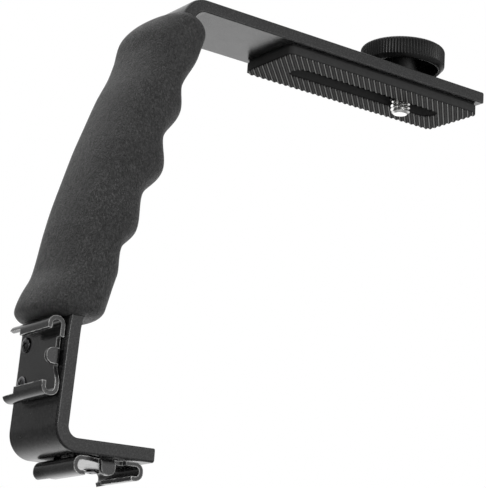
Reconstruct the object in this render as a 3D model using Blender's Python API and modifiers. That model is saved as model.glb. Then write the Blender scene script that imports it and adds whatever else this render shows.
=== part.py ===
"""Camera flash bracket: bent steel strip with a soft hand grip, a ribbed camera
pad, a captive 1/4 inch camera screw with its knob, and two accessory shoes.

Metres, +Z up. The frame's origin is on the camera screw's axis, in the plane of
the pad's rib crests. +X runs along the camera arm towards its free end, +Y goes
across the strip, and the pad faces -Z. The dimensions below are millimetres,
measured on the bench from the strip's lower outer corner (x = 0 on the outer
face of the lower leg, y = 0 on the strip's front edge, z = 0 just above the
underside of the lower arm). DATUM moves them to the frame.
"""
import math

import bmesh
import bpy
from mathutils import Matrix, Vector

# ---------------------------------------------------------------- dimensions
DATUM = (122.7, 13.0, 126.25)       # camera screw axis, pad crest plane

# strip
STRIP_W = 26.0                      # width, along Y
STRIP_T = 3.9                       # thickness
STRIP_EDGE = 0.45                   # broken edge of the painted strip
ARM_TOP = 134.0                     # upper face of the camera arm
ARM_END = 147.4                     # free end of the camera arm
FOOT_END = 30.7                     # free end of the lower arm
FOOT_Z = -0.3                       # underside of the lower arm
LEG_LEAN = 2.4                      # degrees, lower leg off vertical
HANDLE_LEAN = 16.8                  # degrees, handle section off vertical
HANDLE_BEND_Z = 34.5                # height of the bend below the grip
R_FOOT, R_HANDLE, R_ARM = 5.0, 28.0, 6.0   # centre-line bend radii

# slot in the camera arm, and the pad
SLOT_X0, SLOT_X1 = 82.9, 133.0      # centres of the slot's round ends
ARM_SLOT_W = 5.8
PAD_SLOT_X0, PAD_SLOT_X1 = 81.8, 133.7   # the pad's own slot is a little longer
PAD_SLOT_W = 7.4
PAD_X0, PAD_X1 = 68.8, 146.2
PAD_Y0, PAD_Y1 = 1.6, 25.1
PAD_T = 2.85                        # rubber, crest to back
PAD_R = 1.8                         # corner radius
GLUE_T = 0.40
RIB_PITCH = 1.60                    # square to the ribs
RIB_DEPTH = 0.36
RIB_ANGLE = 44.0                    # degrees from Y

# camera screw, knob, washer, ring
SCREW_X = 122.7
SCREW_MAJOR = 6.30
SCREW_MINOR = 5.20
SCREW_PITCH = 1.27                  # 20 threads per inch
SCREW_OUT = 2.95                    # length that stands out of the pad
NECK_D = 5.0
KNOB_D = 27.5
KNOB_RIM_Z, KNOB_TOP_Z = 138.4, 145.5
KNOB_WALL = 2.0
KNOB_FLUTES = 60
HUB_D = 10.0
WASHER_D, WASHER_T = 14.0, 1.0

# accessory shoes (stamped sheet)
SHEET = 1.2
SHOE_W = 21.2                       # over the curled rails
SHOE_H = 5.0                        # base underside to lip face
SHOE_CURL = 2.3                     # outer radius of the rolled rails
SHOE_LIP = 3.6                      # width of a lip, edge to outside
SHOE_Y0, SHOE_LIP_Y1, SHOE_Y1 = 1.0, 16.5, 22.4
SHOE_GAP = 0.3                      # paint film and joint under the base
SHOE_SCREW_Y = 19.2
NOTCH_HALF, NOTCH_DEPTH = 5.4, 1.8  # relief cut round the stop tab
TAB_HALF, TAB_REACH = 2.15, 3.8     # stop tab: half width, height over the base
SIDE_FLARE, END_FLARE = (0.4, 0.4), (0.4, 0.4)   # lead-in of the +u and -u rails
SHOE_SCREW_PITCH = 10.8
SIDE_SHOE_Z = 23.4                  # middle of the side shoe
END_SHOE_X = 16.9                   # middle of the end shoe
END_SHOE_SHIFT = -0.5               # the end shoe sits nearer the front edge

# grip: distances along the handle's centre line, from the bend below it
GRIP_B = 15.4                       # half depth across the strip
GRIP_LOW, GRIP_HIGH = 0.8, 97.8
GRIP_DOME = 3.3                     # rounding of the two ends
GRIP_PALM = ((0.8, 7.6), (4.0, 9.3), (8.0, 9.2), (14.0, 7.8), (26.0, 9.4), (42.0, 10.1),
             (58.0, 9.8), (69.0, 9.1), (77.0, 8.0), (83.0, 7.9), (90.0, 8.5), (97.8, 4.8))
GRIP_FINGERS = ((0.8, 10.9), (16.0, 10.1), (24.8, 8.0), (32.2, 10.9), (41.9, 8.4), (52.0, 12.3),
                (60.8, 8.3), (70.4, 11.0), (77.6, 8.2), (89.2, 10.3), (97.8, 10.3))
GAP = 0.3                           # clearance between touching pieces


# ---------------------------------------------------------------- helpers
def mm(x, y, z):
    """A bench position in millimetres to a frame position in metres."""
    return Vector(((x - DATUM[0]) / 1000, (y - DATUM[1]) / 1000, (z - DATUM[2]) / 1000))


for old in list(bpy.data.objects):
    bpy.data.objects.remove(old, do_unlink=True)

scene = bpy.context.scene
parts = bpy.data.collections.new("camera_flash_bracket")
cutters = bpy.data.collections.new("cutters")
scene.collection.children.link(parts)
scene.collection.children.link(cutters)


def material(name, colour, roughness, metallic=0.0):
    m = bpy.data.materials.new(name)
    m.use_nodes = True
    b = m.node_tree.nodes["Principled BSDF"]
    b.inputs["Base Color"].default_value = (*colour, 1.0)
    b.inputs["Roughness"].default_value = roughness
    b.inputs["Metallic"].default_value = metallic
    m.diffuse_color = (*colour, 1.0)
    return m


MATS = {
    "strip_paint": material("strip_paint", (0.020, 0.020, 0.021), 0.34),
    "grip_skin": material("grip_skin", (0.040, 0.040, 0.041), 0.62),
    "pad_rubber": material("pad_rubber", (0.018, 0.018, 0.018), 0.55),
    "glue_sheet": material("glue_sheet", (0.010, 0.010, 0.010), 0.80),
    "screw_plate": material("screw_plate", (0.78, 0.78, 0.77), 0.22, 1.0),
    "knob_plastic": material("knob_plastic", (0.024, 0.024, 0.025), 0.45),
    "washer_nylon": material("washer_nylon", (0.030, 0.030, 0.030), 0.50),
    "spring_steel": material("spring_steel", (0.10, 0.10, 0.10), 0.40, 1.0),
    "shoe_paint": material("shoe_paint", (0.018, 0.018, 0.019), 0.30),
    "black_screw": material("black_screw", (0.035, 0.035, 0.037), 0.35, 1.0),
}


def into(obj, collection):
    for c in obj.users_collection:
        c.objects.unlink(obj)
    collection.objects.link(obj)
    return obj


def part(obj, name, mat, smooth=None):
    obj.name = name
    obj.data.name = name
    into(obj, parts)
    obj.data.materials.clear()
    obj.data.materials.append(MATS[mat])
    if smooth is not None:
        obj.data.shade_smooth()
        obj.data.set_sharp_from_angle(angle=math.radians(smooth))
    return obj


def cutter(obj, name):
    obj.name = name
    into(obj, cutters)
    obj.hide_render = True
    obj.display_type = "WIRE"
    return obj


def mesh_from(obj, name):
    """A curve object's evaluated mesh, welded, as a new object."""
    deps = bpy.context.evaluated_depsgraph_get()
    deps.update()
    me = bpy.data.meshes.new_from_object(obj.evaluated_get(deps))
    new = bpy.data.objects.new(name, me)
    new.matrix_world = obj.matrix_world.copy()
    scene.collection.objects.link(new)
    bm = bmesh.new()
    bm.from_mesh(me)
    bmesh.ops.remove_doubles(bm, verts=bm.verts, dist=1e-6)
    bmesh.ops.recalc_face_normals(bm, faces=bm.faces)
    bm.to_mesh(me)
    bm.free()
    bpy.data.objects.remove(obj, do_unlink=True)
    return new


def outline(name, loops, half, matrix):
    """Flat closed outlines (metres), extruded both ways by half, as a mesh."""
    cu = bpy.data.curves.new(name, "CURVE")
    cu.dimensions = "2D"
    cu.fill_mode = "BOTH"
    cu.extrude = half
    for pts in loops:
        sp = cu.splines.new("POLY")
        sp.points.add(len(pts) - 1)
        for p, q in zip(sp.points, pts):
            p.co = (q[0], q[1], 0.0, 1.0)
        sp.use_cyclic_u = True
    ob = bpy.data.objects.new(name, cu)
    ob.matrix_world = matrix
    scene.collection.objects.link(ob)
    bpy.context.view_layer.update()
    return mesh_from(ob, name)


def turned(name, profile, at, axis="Z", steps=32, flip=False):
    """A closed turned body. profile: (radius, height) in mm from the top of the
    axis, down the outer side, to the bottom of the axis."""
    me = bpy.data.meshes.new(name)
    me.from_pydata([(r / 1000, 0.0, h / 1000) for r, h in profile],
                   [(i, i + 1) for i in range(len(profile) - 1)], [])
    ob = bpy.data.objects.new(name, me)
    scene.collection.objects.link(ob)
    s = ob.modifiers.new("turn", "SCREW")
    s.axis = "Z"
    s.angle = math.tau
    s.steps = steps
    s.render_steps = steps
    s.use_merge_vertices = True
    s.merge_threshold = 0.00001
    ob.location = at
    if axis == "X":                       # the profile's up is -X
        ob.rotation_euler = (0.0, -math.pi / 2, 0.0)
    if flip:                              # the profile's up is -Z
        ob.rotation_euler = (math.pi, 0.0, 0.0)
    return ob


def applied(obj):
    """Apply an object's modifiers and keep its placing."""
    deps = bpy.context.evaluated_depsgraph_get()
    deps.update()
    me = bpy.data.meshes.new_from_object(obj.evaluated_get(deps))
    obj.modifiers.clear()
    obj.data = me
    return obj


def cut(obj, tool, operation="DIFFERENCE"):
    m = obj.modifiers.new("cut", "BOOLEAN")
    m.operation = operation
    m.solver = "EXACT"
    m.object = tool
    return m


def bevel(obj, width, segments=1, angle=40.0):
    b = obj.modifiers.new("edges", "BEVEL")
    b.width = width / 1000
    b.segments = segments
    b.limit_method = "ANGLE"
    b.angle_limit = math.radians(angle)
    b.use_clamp_overlap = True
    return b


def stadium(x0, x1, y, w, steps=8):
    """Outline of a slot with round ends, in frame metres."""
    r = w / 2
    pts = []
    for k in range(steps + 1):
        a = -math.pi / 2 + math.pi * k / steps
        pts.append((x1 + r * math.cos(a), y + r * math.sin(a)))
    for k in range(steps + 1):
        a = math.pi / 2 + math.pi * k / steps
        pts.append((x0 + r * math.cos(a), y + r * math.sin(a)))
    return [tuple(mm(px, py, 0)[:2]) for px, py in pts]


def rounded_box(x0, x1, y0, y1, r, steps=5):
    pts = []
    for cx, cy, a0 in ((x1 - r, y0 + r, -90), (x1 - r, y1 - r, 0), (x0 + r, y1 - r, 90), (x0 + r, y0 + r, 180)):
        for k in range(steps + 1):
            a = math.radians(a0 + 90 * k / steps)
            pts.append((cx + r * math.cos(a), cy + r * math.sin(a)))
    return [tuple(mm(px, py, 0)[:2]) for px, py in pts]


# ---------------------------------------------------------------- the strip
def strip_path():
    """Centre line of the bent strip in the XZ plane: points and unit tangents."""
    zc = STRIP_T / 2
    lean = math.tan(math.radians(LEG_LEAN))
    lean2 = math.tan(math.radians(HANDLE_LEAN))
    leg_x = zc + 0.0                                  # centre of the leg at z = 10
    p0 = (FOOT_END, FOOT_Z + zc)
    p1 = (leg_x - (10.0 - FOOT_Z - zc) * lean, FOOT_Z + zc)
    p2 = (leg_x + (HANDLE_BEND_Z - 10.0) * lean, HANDLE_BEND_Z)
    top = ARM_TOP - zc
    p3 = (p2[0] + (top - p2[1]) * lean2, top)
    p4 = (ARM_END, top)
    return [p0, p1, p2, p3, p4], [R_FOOT, R_HANDLE, R_ARM]


def centre_line(step_deg=9.0):
    """Points (x, z) and left normals along the centre line, bends as arcs."""
    pts, radii = strip_path()
    out = []

    def unit(a, b):
        dx, dz = b[0] - a[0], b[1] - a[1]
        n = math.hypot(dx, dz)
        return dx / n, dz / n

    d = unit(pts[0], pts[1])
    out.append((pts[0], d))
    for i, r in enumerate(radii):
        a, b, c = pts[i], pts[i + 1], pts[i + 2]
        d0, d1 = unit(a, b), unit(b, c)
        cross = d0[0] * d1[1] - d0[1] * d1[0]
        turn = math.atan2(cross, d0[0] * d1[0] + d0[1] * d1[1])
        tl = r * math.tan(abs(turn) / 2)
        start = (b[0] - d0[0] * tl, b[1] - d0[1] * tl)
        side = 1 if turn > 0 else -1
        centre = (start[0] - d0[1] * r * side, start[1] + d0[0] * r * side)
        n = max(2, int(math.ceil(abs(math.degrees(turn)) / step_deg)))
        for k in range(n + 1):
            a_k = turn * k / n
            ca, sa = math.cos(a_k), math.sin(a_k)
            vx, vz = start[0] - centre[0], start[1] - centre[1]
            out.append(((centre[0] + vx * ca - vz * sa, centre[1] + vx * sa + vz * ca),
                        (d0[0] * ca - d0[1] * sa, d0[0] * sa + d0[1] * ca)))
    d = unit(pts[-2], pts[-1])
    out.append((pts[-1], d))
    return out


def strip_solid(name, thick, width, lengthen=0.0):
    """The bent strip, or a fatter copy of it, as one extruded side outline."""
    line = centre_line()
    left, right = [], []
    for i, (p, d) in enumerate(line):
        e = lengthen if i in (0, len(line) - 1) else 0.0
        s = -1 if i == 0 else 1
        x, z = p[0] + d[0] * e * s, p[1] + d[1] * e * s
        left.append((x - d[1] * thick / 2, z + d[0] * thick / 2))
        right.append((x + d[1] * thick / 2, z - d[0] * thick / 2))
    loop = left + right[::-1]
    pts = [((x - DATUM[0]) / 1000, (z - DATUM[2]) / 1000) for x, z in loop]
    m = Matrix.Translation((0, (STRIP_W / 2 - DATUM[1]) / 1000, 0)) @ Matrix.Rotation(math.pi / 2, 4, "X")
    return outline(name, [pts], width / 2000, m)


frame_bar = strip_solid("frame_bar", STRIP_T, STRIP_W)
bevel(frame_bar, STRIP_EDGE, segments=1, angle=50)
applied(frame_bar)
arm_slot = cutter(outline("arm_slot", [stadium(SLOT_X0, SLOT_X1, 13.0, ARM_SLOT_W)], 0.004,
                          Matrix.Translation((0, 0, mm(0, 0, ARM_TOP - STRIP_T / 2).z))), "arm_slot")
cut(frame_bar, arm_slot)


# ---------------------------------------------------------------- accessory shoe
def shoe_frame(which):
    """Local shoe axes to the frame: u across the rails, v along them (from the
    stop tab's end), w out of the bar."""
    if which == "side":
        zc = SIDE_SHOE_Z
        lean = math.radians(LEG_LEAN)
        x_face = (zc - 10.0) * math.tan(lean) - (STRIP_T / 2) * (1 / math.cos(lean) - 1)
        o = mm(x_face, 0, zc)
        u = Vector((math.sin(lean), 0, math.cos(lean)))
        w = Vector((-math.cos(lean), 0, math.sin(lean)))
    else:
        o = mm(END_SHOE_X, END_SHOE_SHIFT, FOOT_Z)
        u = Vector((1, 0, 0))
        w = Vector((0, 0, -1))
    v = Vector((0, 1, 0))
    m = Matrix.Identity(4)
    for i in range(3):
        m[i][0], m[i][1], m[i][2], m[i][3] = u[i], v[i], w[i], o[i]
    return m


def shoe_profile():
    """Mid-surface cross-section (u, w) from one lip edge to the middle of the
    base, with the kinds of stretch: lip, curl, base."""
    t = SHEET / 2
    r = SHOE_CURL - t
    half = SHOE_W / 2 - t
    w0 = SHOE_GAP + t
    w1 = SHOE_GAP + SHOE_H - t
    pts = [(half - (SHOE_LIP - t), w1, "lip")]
    n = 5
    for k in range(n + 1):
        a = math.pi / 2 - math.pi / 2 * k / n
        pts.append((half - r + r * math.cos(a), w1 - r + r * math.sin(a), "lip" if k == 0 else "curl"))
    for k in range(n + 1):
        a = -math.pi / 2 * k / n
        pts.append((half - r + r * math.cos(a), w0 + r + r * math.sin(a), "curl"))
    for u in (6.6, NOTCH_HALF, 3.7, TAB_HALF, 1.4, 0.0):
        pts.append((u, w0, "base"))
    return pts


def shoe_mesh(name, flare):
    """Open mid-surface of the stamped shoe in its local axes, metres."""
    half_prof = shoe_profile()
    prof = half_prof + [(-u, w, k) for u, w, k in half_prof[-2::-1]]
    rows = [SHOE_Y0, SHOE_Y0 + NOTCH_DEPTH, 6.0, 11.0, SHOE_LIP_Y1, SHOE_LIP_Y1 + 1.4, SHOE_LIP_Y1 + 3.0, SHOE_Y1]
    n = len(prof)
    bm = bmesh.new()
    grid = []
    t = SHEET / 2
    w0 = SHOE_GAP + t
    for j, v in enumerate(rows):
        line = []
        out = 0.0
        if v > SHOE_LIP_Y1:                       # lead-in flare past the lips
            out = ((v - SHOE_LIP_Y1) / (SHOE_Y1 - SHOE_LIP_Y1)) ** 1.6
        for u, w, kind in prof:
            lift = min(1.0, max(0.0, (w - w0) / (SHOE_H - SHEET))) * flare[0 if u > 0 else 1]
            line.append(bm.verts.new((u + math.copysign(out * lift, u), v, w)))
        grid.append(line)
    tab = [i for i, p in enumerate(prof) if p[2] == "base" and abs(p[0]) < TAB_HALF + 0.01]
    for j in range(len(rows) - 1):
        for i in range(n - 1):
            kinds = (prof[i][2], prof[i + 1][2])
            if rows[j] >= SHOE_LIP_Y1 and "lip" in kinds:
                continue                          # lips end here
            lo, hi = sorted((abs(prof[i][0]), abs(prof[i + 1][0])))
            if j == 0 and kinds == ("base", "base") and hi < NOTCH_HALF + 0.01:
                continue                          # relief notches and tab
            bm.faces.new((grid[j][i], grid[j][i + 1], grid[j + 1][i + 1], grid[j + 1][i]))
    # the stop tab: a round-ended tongue bent square out of the base
    prev = [grid[1][i] for i in tab]
    half_w = prof[tab[0]][0]
    r = 1.1
    path = []
    for k in range(1, 5):
        a = math.pi / 2 * k / 4
        path.append((rows[1] - r * math.sin(a), w0 + r * (1 - math.cos(a)), 1.0))
    reach = TAB_REACH
    v_t = rows[1] - r
    for k in range(1, 5):
        h = w0 + r + (reach - r) * k / 4
        d = half_w - (w0 + reach - h)
        path.append((v_t, h, math.sqrt(max(0.0, 1 - (d / half_w) ** 2)) if d > 0 else 1.0))
    path[-1] = (path[-1][0], path[-1][1], 0.34)
    for v, w, f in path:
        cur = [bm.verts.new((prof[i][0] * f, v, w)) for i in tab]
        for a in range(len(tab) - 1):
            bm.faces.new((prev[a], prev[a + 1], cur[a + 1], cur[a]))
        prev = cur
    for v in [v for v in bm.verts if not v.link_faces]:
        bm.verts.remove(v)
    bmesh.ops.scale(bm, vec=(0.001, 0.001, 0.001), verts=bm.verts)
    bmesh.ops.recalc_face_normals(bm, faces=bm.faces)
    me = bpy.data.meshes.new(name)
    bm.to_mesh(me)
    bm.free()
    return me


def build_shoe(name, which):
    ob = bpy.data.objects.new(name, shoe_mesh(name, SIDE_FLARE if which == "side" else END_FLARE))
    scene.collection.objects.link(ob)
    ob.matrix_world = shoe_frame(which)
    s = ob.modifiers.new("sheet", "SOLIDIFY")
    s.thickness = SHEET / 1000
    s.offset = 0.0
    s.use_even_offset = True
    applied(ob)
    for i, side in enumerate((1, -1)):
        hole = turned(f"{name}_hole_{i}", [(0, 1.5), (1.6, 1.5), (1.6, -1.5), (0, -1.5)], (0, 0, 0), steps=16)
        hole.matrix_world = shoe_frame(which) @ Matrix.Translation(
            (side * SHOE_SCREW_PITCH / 2000, SHOE_SCREW_Y / 1000, (SHOE_GAP + SHEET / 2) / 1000))
        cutter(hole, hole.name)
        cut(ob, hole)
    return part(ob, name, "shoe_paint", smooth=35)


build_shoe("side_shoe", "side")
build_shoe("end_shoe", "end")


# ---------------------------------------------------------------- shoe screws
def build_shoe_screw(name, which, side):
    """Cross-recessed pan-head screw through the base into the strip."""
    head_w = SHOE_GAP + SHEET + 0.12
    prof = [(0.0, head_w + 0.98), (0.9, head_w + 0.95), (1.6, head_w + 0.80), (2.0, head_w + 0.50),
            (2.15, head_w + 0.2), (2.15, head_w), (1.25, head_w), (1.25, -2.9), (0.95, -3.3), (0.0, -3.3)]
    ob = turned(name, prof, (0, 0, 0), steps=20)
    m = shoe_frame(which) @ Matrix.Translation((side * SHOE_SCREW_PITCH / 2000, SHOE_SCREW_Y / 1000, 0))
    ob.matrix_world = m
    applied(ob)
    for k in range(2):
        bpy.ops.mesh.primitive_cube_add(size=1.0)
        c = bpy.context.active_object
        for v in c.data.vertices:                # tapered wing of the cross recess
            top = v.co.z > 0
            v.co = (v.co.x * (2.5 if top else 1.1) / 1000, v.co.y * (0.55 if top else 0.4) / 1000,
                    (head_w + (1.3 if top else 0.35)) / 1000)
        c.matrix_world = m @ Matrix.Rotation(math.radians(22 + 90 * k), 4, "Z")
        cutter(c, f"{name}_recess_{k}")
        cut(ob, c)
    part(ob, name, "black_screw", smooth=35)
    hole = turned(f"{name}_bar_hole", [(0, 1.0), (1.6, 1.0), (1.6, -5.0), (0, -5.0)], (0, 0, 0), steps=16)
    hole.matrix_world = m
    cut(frame_bar, cutter(hole, hole.name))


build_shoe_screw("side_shoe_screw_upper", "side", 1)
build_shoe_screw("side_shoe_screw_lower", "side", -1)
build_shoe_screw("end_shoe_screw_outer", "end", 1)
build_shoe_screw("end_shoe_screw_inner", "end", -1)
part(frame_bar, "frame_bar", "strip_paint", smooth=35)


# ---------------------------------------------------------------- pad and glue
UNDER = ARM_TOP - STRIP_T
glue_z = UNDER - 0.3 - GLUE_T / 2
glue = outline("pad_adhesive", [rounded_box(PAD_X0 + 0.7, PAD_X1 - 0.7, PAD_Y0 + 0.7, PAD_Y1 - 0.7, PAD_R),
                                stadium(PAD_SLOT_X0, PAD_SLOT_X1, 13.0, PAD_SLOT_W + 1.4)], GLUE_T / 2000,
               Matrix.Translation((0, 0, mm(0, 0, glue_z).z)))
part(glue, "pad_adhesive", "glue_sheet")

pad_z = DATUM[2] + PAD_T / 2
pad = outline("camera_pad", [rounded_box(PAD_X0, PAD_X1, PAD_Y0, PAD_Y1, PAD_R),
                             stadium(PAD_SLOT_X0, PAD_SLOT_X1, 13.0, PAD_SLOT_W, steps=10)], PAD_T / 2000,
              Matrix.Translation((0, 0, mm(0, 0, pad_z).z)))


def rib_grooves():
    """Row of narrow tapered prisms that leave the pad's broad diagonal ribs."""
    a = math.radians(RIB_ANGLE)
    along = Vector((math.sin(a), math.cos(a), 0))
    across = Vector((math.cos(a), -math.sin(a), 0))
    mid = mm((PAD_X0 + PAD_X1) / 2, 13.0, DATUM[2])
    reach = ((PAD_X1 - PAD_X0) * math.cos(a) + (PAD_Y1 - PAD_Y0) * math.sin(a)) / 2
    n = int(reach / RIB_PITCH) + 1
    length = 0.040
    section = [(-0.44, -0.4), (0.44, -0.4), (0.44, 0.0), (0.20, RIB_DEPTH), (-0.20, RIB_DEPTH), (-0.44, 0.0)]
    bm = bmesh.new()
    for k in range(-n, n + 1):
        base = mid + across * (k * RIB_PITCH / 1000)
        ends = []
        for s in (-1, 1):
            ends.append([bm.verts.new(base + along * (s * length) + across * (q / 1000) + Vector((0, 0, h / 1000)))
                         for q, h in section])
        bm.faces.new(ends[0])
        bm.faces.new(ends[1][::-1])
        for i in range(len(section)):
            j = (i + 1) % len(section)
            bm.faces.new((ends[0][j], ends[0][i], ends[1][i], ends[1][j]))
    bmesh.ops.recalc_face_normals(bm, faces=bm.faces)
    me = bpy.data.meshes.new("rib_grooves")
    bm.to_mesh(me)
    bm.free()
    ob = bpy.data.objects.new("rib_grooves", me)
    scene.collection.objects.link(ob)
    return cutter(ob, "rib_grooves")


cut(pad, rib_grooves())
part(pad, "camera_pad", "pad_rubber")


# ---------------------------------------------------------------- camera screw
screw_bottom = DATUM[2] - SCREW_OUT
shoulder = 127.7
neck_top = 142.2


def screw_profile():
    """Turned thread form: rings at the thread's pitch, from the top down."""
    top, ri, ro = neck_top - DATUM[2], SCREW_MINOR / 2, SCREW_MAJOR / 2
    low = -SCREW_OUT
    p = [(0.0, top), (NECK_D / 2 - 0.4, top), (NECK_D / 2, top - 0.4), (NECK_D / 2, shoulder - DATUM[2])]
    z = shoulder - DATUM[2]
    p.append((ri + 0.2, z))
    while z - SCREW_PITCH > low + 0.5:
        p += [(ro, z - 0.45), (ro, z - 0.63), (ri, z - SCREW_PITCH + 0.08)]
        z -= SCREW_PITCH
        p.append((ri, z))
    p += [(ri + 0.05, low + 0.45), (ri - 0.45, low), (0.0, low)]
    return p


axis = mm(SCREW_X, 13.0, DATUM[2])
camera_screw = turned("camera_screw", screw_profile(), axis, steps=28)
part(camera_screw, "camera_screw", "screw_plate", smooth=30)

ring = turned("retaining_ring", [(2.72, 0.3), (3.42, 0.3), (3.42, -0.3), (2.72, -0.3), (2.72, 0.3)],
              mm(SCREW_X, 13.0, shoulder + 0.2 + 0.3), steps=32)
applied(ring)
bpy.ops.mesh.primitive_cube_add(size=1.0, location=mm(SCREW_X - 3.2, 13.0, shoulder + 0.5))
gap_cut = bpy.context.active_object
gap_cut.scale = (0.002, 0.0012, 0.002)
bpy.ops.object.transform_apply(location=False, rotation=False, scale=True)
cut(ring, cutter(gap_cut, "ring_gap"))
part(ring, "retaining_ring", "spring_steel", smooth=35)

washer_z = ARM_TOP + 0.2 + WASHER_T / 2
washer = turned("knob_washer", [(2.9, 0.5), (WASHER_D / 2 - 0.2, 0.5), (WASHER_D / 2, 0.3), (WASHER_D / 2, -0.3),
                                (WASHER_D / 2 - 0.2, -0.5), (2.9, -0.5), (2.9, 0.5)],
                mm(SCREW_X, 13.0, washer_z), steps=36)
part(washer, "knob_washer", "washer_nylon", smooth=35)


# ---------------------------------------------------------------- knob
def knob_outline():
    """Rim outline with shallow round-bottomed flutes."""
    r = KNOB_D / 2
    pts = []
    for k in range(KNOB_FLUTES):
        for f, d in ((0.0, 0.38), (0.25, 0.16), (0.42, 0.0), (0.58, 0.0), (0.75, 0.16)):
            a = math.tau * (k + f) / KNOB_FLUTES
            pts.append(((r - d) * math.cos(a) / 1000, (r - d) * math.sin(a) / 1000))
    return pts


knob = outline("thumb_knob", [knob_outline()], (KNOB_TOP_Z - KNOB_RIM_Z) / 2000,
               Matrix.Translation(mm(SCREW_X, 13.0, (KNOB_TOP_Z + KNOB_RIM_Z) / 2)))
rk = KNOB_D / 2
zt, zr = KNOB_TOP_Z - DATUM[2], KNOB_RIM_Z - DATUM[2]
envelope = turned("knob_envelope", [(0, zt + 0.0), (rk - 3.0, zt - 0.0), (rk - 0.5, zt - 0.35), (rk + 0.3, zt - 1.1),
                                    (rk + 0.3, zr + 1.5), (rk - 1.2, zr), (0, zr)],
                  axis, steps=64)
cut(knob, cutter(envelope, "knob_envelope"), "INTERSECT")
well = turned("knob_well", [(HUB_D / 2, zt - 1.9), (rk - KNOB_WALL - 1.0, zt - 1.9), (rk - KNOB_WALL - 0.3, zt - 2.6),
                            (rk - KNOB_WALL, zr - 1.0), (HUB_D / 2, zr - 1.0), (HUB_D / 2, zt - 1.9)], axis, steps=48)
cut(knob, cutter(well, "knob_well"))
applied(knob)
hub_low = ARM_TOP + 0.2 + WASHER_T + 0.2 - DATUM[2]
hub = turned("knob_hub", [(0, zt - 1.4), (HUB_D / 2 + 0.01, zt - 1.4), (HUB_D / 2 + 0.01, hub_low + 0.4),
                          (HUB_D / 2 - 0.4, hub_low), (0, hub_low)], axis, steps=48)
cut(knob, cutter(hub, "knob_hub"), "UNION")
bore = turned("knob_bore", [(0, neck_top - DATUM[2] + 0.3), (NECK_D / 2 + 0.3, neck_top - DATUM[2] + 0.3),
                            (NECK_D / 2 + 0.3, hub_low - 1.0), (0, hub_low - 1.0)], axis, steps=28)
cut(knob, cutter(bore, "knob_bore"))
part(knob, "thumb_knob", "knob_plastic", smooth=30)


# ---------------------------------------------------------------- grip
def handle_axis(s):
    """Bench (x, z) on the handle's centre line, s mm above the lower bend."""
    pts, _ = strip_path()
    a = math.radians(HANDLE_LEAN)
    return pts[2][0] + s * math.sin(a), pts[2][1] + s * math.cos(a)


def smooth(t):
    t = min(1.0, max(0.0, t))
    return t * t * (3 - 2 * t)


def station(table, s):
    """The table's row index below s, and how far s is to the next row."""
    i = 0
    while i < len(table) - 2 and table[i + 1][0] < s:
        i += 1
    return i, min(1.0, max(0.0, (s - table[i][0]) / (table[i + 1][0] - table[i][0])))


def palm(s):
    """Height of the outer side: a flowing curve through the palm stations."""
    i, u = station(GRIP_PALM, s)

    def slope(k):
        a, b = GRIP_PALM[max(k - 1, 0)], GRIP_PALM[min(k + 1, len(GRIP_PALM) - 1)]
        return (b[1] - a[1]) / (b[0] - a[0])

    (s0, h0), (s1, h1) = GRIP_PALM[i], GRIP_PALM[i + 1]
    d = s1 - s0
    return ((2 * u ** 3 - 3 * u ** 2 + 1) * h0 + (u ** 3 - 2 * u ** 2 + u) * d * slope(i)
            + (3 * u ** 2 - 2 * u ** 3) * h1 + (u ** 3 - u ** 2) * d * slope(i + 1))


def fingers(s):
    """Height of the inner side: waves between the finger grooves and the swells."""
    i, u = station(GRIP_FINGERS, s)
    return GRIP_FINGERS[i][1] + (GRIP_FINGERS[i + 1][1] - GRIP_FINGERS[i][1]) * smooth(u)


def grip_half(s):
    """Half sizes at s: outer side, inner side, across."""
    inner = fingers(s)
    return palm(s), inner, GRIP_B + 0.12 * (inner - 9.6)


def grip_ring(s, shrink, tilt, n):
    """One loft section: a squarish oval, square to the axis but turned by tilt."""
    x, z = handle_axis(s)
    a = math.radians(HANDLE_LEAN) + math.radians(tilt)
    ux, uz = math.cos(a), -math.sin(a)
    outer, inner, across = grip_half(s)
    ring_pts = []
    for k in range(n):
        t = math.tau * k / n
        c, q = math.cos(t), math.sin(t)
        e = 2.0 / 2.35
        cc = math.copysign(abs(c) ** e, c)
        qq = math.copysign(abs(q) ** e, q)
        h = (inner if c > 0 else outer) - shrink
        ring_pts.append(mm(x + ux * h * cc, 13.0 + (across - shrink) * qq, z + uz * h * cc))
    return ring_pts


def build_grip():
    n = 32
    dome = GRIP_DOME
    low, high = GRIP_LOW, GRIP_HIGH
    rows = [(low + dome * (1 - math.cos(math.pi / 2 * k / 5)), dome * (1 - math.sin(math.pi / 2 * k / 5)))
            for k in range(6)]
    count = 44
    body0, body1 = low + dome, high - dome
    rows += [(body0 + (body1 - body0) * k / count, 0.0) for k in range(1, count)]
    rows += [(high - dome * (1 - math.cos(math.pi / 2 * k / 5)), dome * (1 - math.sin(math.pi / 2 * k / 5)))
             for k in range(5, -1, -1)]
    bm = bmesh.new()
    prev = None
    rings = []
    for s, shrink in rows:
        tilt = -18.0 * (1 - smooth((s - low) / 25.0))
        rings.append([bm.verts.new(p) for p in grip_ring(s, shrink, tilt, n)])
    for a, b in zip(rings, rings[1:]):
        for i in range(n):
            j = (i + 1) % n
            bm.faces.new((a[i], a[j], b[j], b[i]))
    bm.faces.new(rings[0][::-1])
    bm.faces.new(rings[-1])
    bmesh.ops.recalc_face_normals(bm, faces=bm.faces)
    me = bpy.data.meshes.new("grip_sleeve")
    bm.to_mesh(me)
    bm.free()
    ob = bpy.data.objects.new("grip_sleeve", me)
    scene.collection.objects.link(ob)
    core = cutter(strip_solid("grip_core", STRIP_T + 2 * GAP, STRIP_W + 2 * GAP, lengthen=3.0), "grip_core")
    cut(ob, core)
    return part(ob, "grip_sleeve", "grip_skin", smooth=40)


build_grip()
bpy.context.view_layer.update()
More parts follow.
